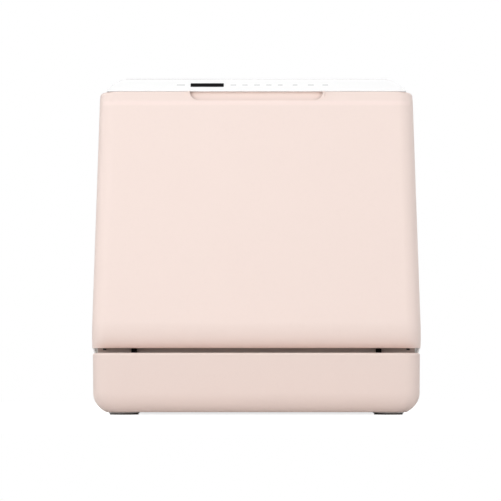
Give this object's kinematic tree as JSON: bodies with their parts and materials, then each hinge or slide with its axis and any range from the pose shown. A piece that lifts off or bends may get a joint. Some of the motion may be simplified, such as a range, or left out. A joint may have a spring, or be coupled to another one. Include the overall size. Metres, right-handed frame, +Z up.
{
  "type": "countertop dishwasher",
  "caption": "Countertop dishwasher with a drop-down front door, sloped touch strip, pull-out rack, turning spray arms and built-in tank.",
  "frame": {"origin": "on the table under the middle of the machine", "axes": "+Z up, the door faces -Y, +X to the right as seen from the front"},
  "size_m": [0.4196, 0.435, 0.435],
  "materials": {
    "pink_shell": "satin moulded plastic",
    "white_shell": "smooth white paint",
    "white_fascia": "glossy white moulding",
    "black_window": "black display window",
    "inner_white": "fine-grained moulded plastic",
    "tub_steel": "brushed stainless sheet",
    "seal_rubber": "soft matt rubber",
    "foot_grey": "grey moulded plastic",
    "tray_steel": "zinc-coated sheet",
    "bracket_black": "black coated steel",
    "bare_steel": "bright steel",
    "board_green": "solder mask green",
    "tank_clear": "milky blown plastic",
    "part_grey": "grey moulded plastic",
    "pump_dark": "dark glass-filled plastic",
    "pump_white": "natural plastic",
    "motor_metal": "cast housing",
    "rack_coat": "nylon-coated wire"
  },
  "bodies": {
    "cabinet": {"outer_shell": "white_shell", "front_frame": "inner_white", "plinth_cover": "pink_shell", "base_tray": "tray_steel", "back_panel": "white_shell", "tub": "tub_steel", "tub_floor": "tub_steel", "door_gasket": "seal_rubber", "control_fascia": "white_fascia", "display_window": "black_window", "control_board": "board_green", "water_tank": "tank_clear", "fill_neck": "inner_white", "sump": "part_grey", "sump_filter": "part_grey", "wash_pump": "pump_dark", "wash_motor": "motor_metal", "drain_pump": "pump_dark", "heater": "bare_steel", "inlet_valve": "pump_white", "drain_outlet": "pump_dark", "power_inlet": "pump_dark", "inlet_hose": "seal_rubber", "drain_hose": "seal_rubber", "fan_housing": "inner_white", "power_module": "pump_white", "hinge_bracket_left": "bracket_black", "hinge_bracket_right": "bracket_black", "hinge_pins": "bare_steel", "latch_body": "pump_dark", "rack_rails": "tub_steel", "spray_post": "part_grey", "spray_feed": "part_grey", "feet": "foot_grey", "foot_pads": "seal_rubber", "case_screws": "bare_steel"},
    "door": {"door_outer": "pink_shell", "door_liner": "inner_white", "hinge_arms": "bare_steel", "door_strike": "bare_steel", "detergent_cup": "part_grey", "door_bumpers": "seal_rubber"},
    "detergent_lid": {"detergent_lid": "part_grey"},
    "rack": {"dish_rack": "rack_coat", "rack_floor": "rack_coat", "tine_row_left": "rack_coat", "tine_row_middle": "rack_coat", "tine_row_right": "rack_coat"},
    "rollers_front": {"rack_rollers_front": "pump_white"},
    "rollers_rear": {"rack_rollers_rear": "pump_white"},
    "basket": {"cutlery_basket": "part_grey"},
    "lower_arm": {"lower_spray_arm": "part_grey"},
    "upper_arm": {"upper_spray_arm": "part_grey"},
    "wash_wheel": {"wash_impeller": "pump_white"},
    "drain_wheel": {"drain_impeller": "pump_white"},
    "fan_wheel": {"fan_impeller": "pump_dark"},
    "filler_cap": {"fill_cap": "inner_white"},
    "hook": {"latch_hook": "bare_steel"},
    "float": {"float_bell": "part_grey"}
  },
  "joints": [
    {"name": "door_hinge", "type": "hinge", "parent": "cabinet", "child": "door", "pos_m": [0, -0.2005, 0.101], "axis": [1, 0, 0], "range_deg": [0, 90]},
    {"name": "rack_slide", "type": "slide", "parent": "cabinet", "child": "rack", "axis": [0, -1, 0], "range_m": [0, 0.15]},
    {"name": "rollers_front_roll", "type": "hinge", "parent": "rack", "child": "rollers_front", "pos_m": [0, -0.0094, 0.19], "axis": [1, 0, 0], "range_deg": [0, 1080]},
    {"name": "rollers_rear_roll", "type": "hinge", "parent": "rack", "child": "rollers_rear", "pos_m": [0, 0.1176, 0.19], "axis": [1, 0, 0], "range_deg": [0, 1080]},
    {"name": "basket_lift", "type": "slide", "parent": "rack", "child": "basket", "axis": [0, 0, 1], "range_m": [0, 0.075]},
    {"name": "lower_arm_spin", "type": "hinge", "parent": "cabinet", "child": "lower_arm", "pos_m": [0, -0.0144, 0.128], "axis": [0, 0, 1], "continuous": true},
    {"name": "upper_arm_spin", "type": "hinge", "parent": "cabinet", "child": "upper_arm", "pos_m": [0, -0.0144, 0.358], "axis": [0, 0, 1], "continuous": true},
    {"name": "wash_wheel_spin", "type": "hinge", "parent": "cabinet", "child": "wash_wheel", "pos_m": [0.03, -0.0144, 0.052], "axis": [1, 0, 0], "continuous": true},
    {"name": "drain_wheel_spin", "type": "hinge", "parent": "cabinet", "child": "drain_wheel", "pos_m": [-0.105, -0.0144, 0.058], "axis": [1, 0, 0], "continuous": true},
    {"name": "fan_wheel_spin", "type": "hinge", "parent": "cabinet", "child": "fan_wheel", "pos_m": [-0.19, 0.04, 0.25], "axis": [1, 0, 0], "continuous": true},
    {"name": "filler_cap_lift", "type": "slide", "parent": "cabinet", "child": "filler_cap", "axis": [0, 0, 1], "range_m": [0, 0.03]},
    {"name": "detergent_lid_slide", "type": "slide", "parent": "door", "child": "detergent_lid", "axis": [1, 0, 0], "range_m": [0, 0.04]},
    {"name": "hook_turn", "type": "hinge", "parent": "cabinet", "child": "hook", "pos_m": [0, -0.1395, 0.414], "axis": [1, 0, 0], "range_deg": [0, 12], "stiffness_Nm_per_rad": 0.05, "springref_deg": -11.46},
    {"name": "float_lift", "type": "slide", "parent": "cabinet", "child": "float", "axis": [0, 0, 1], "range_m": [0, 0.006]}
  ],
  "couplings": [
    {"joint": "rack_slide", "follows": "door_hinge", "m_per_rad": 0.09544},
    {"joint": "rollers_front_roll", "follows": "door_hinge", "ratio": 11.93},
    {"joint": "rollers_rear_roll", "follows": "door_hinge", "ratio": 11.93}
  ]
}
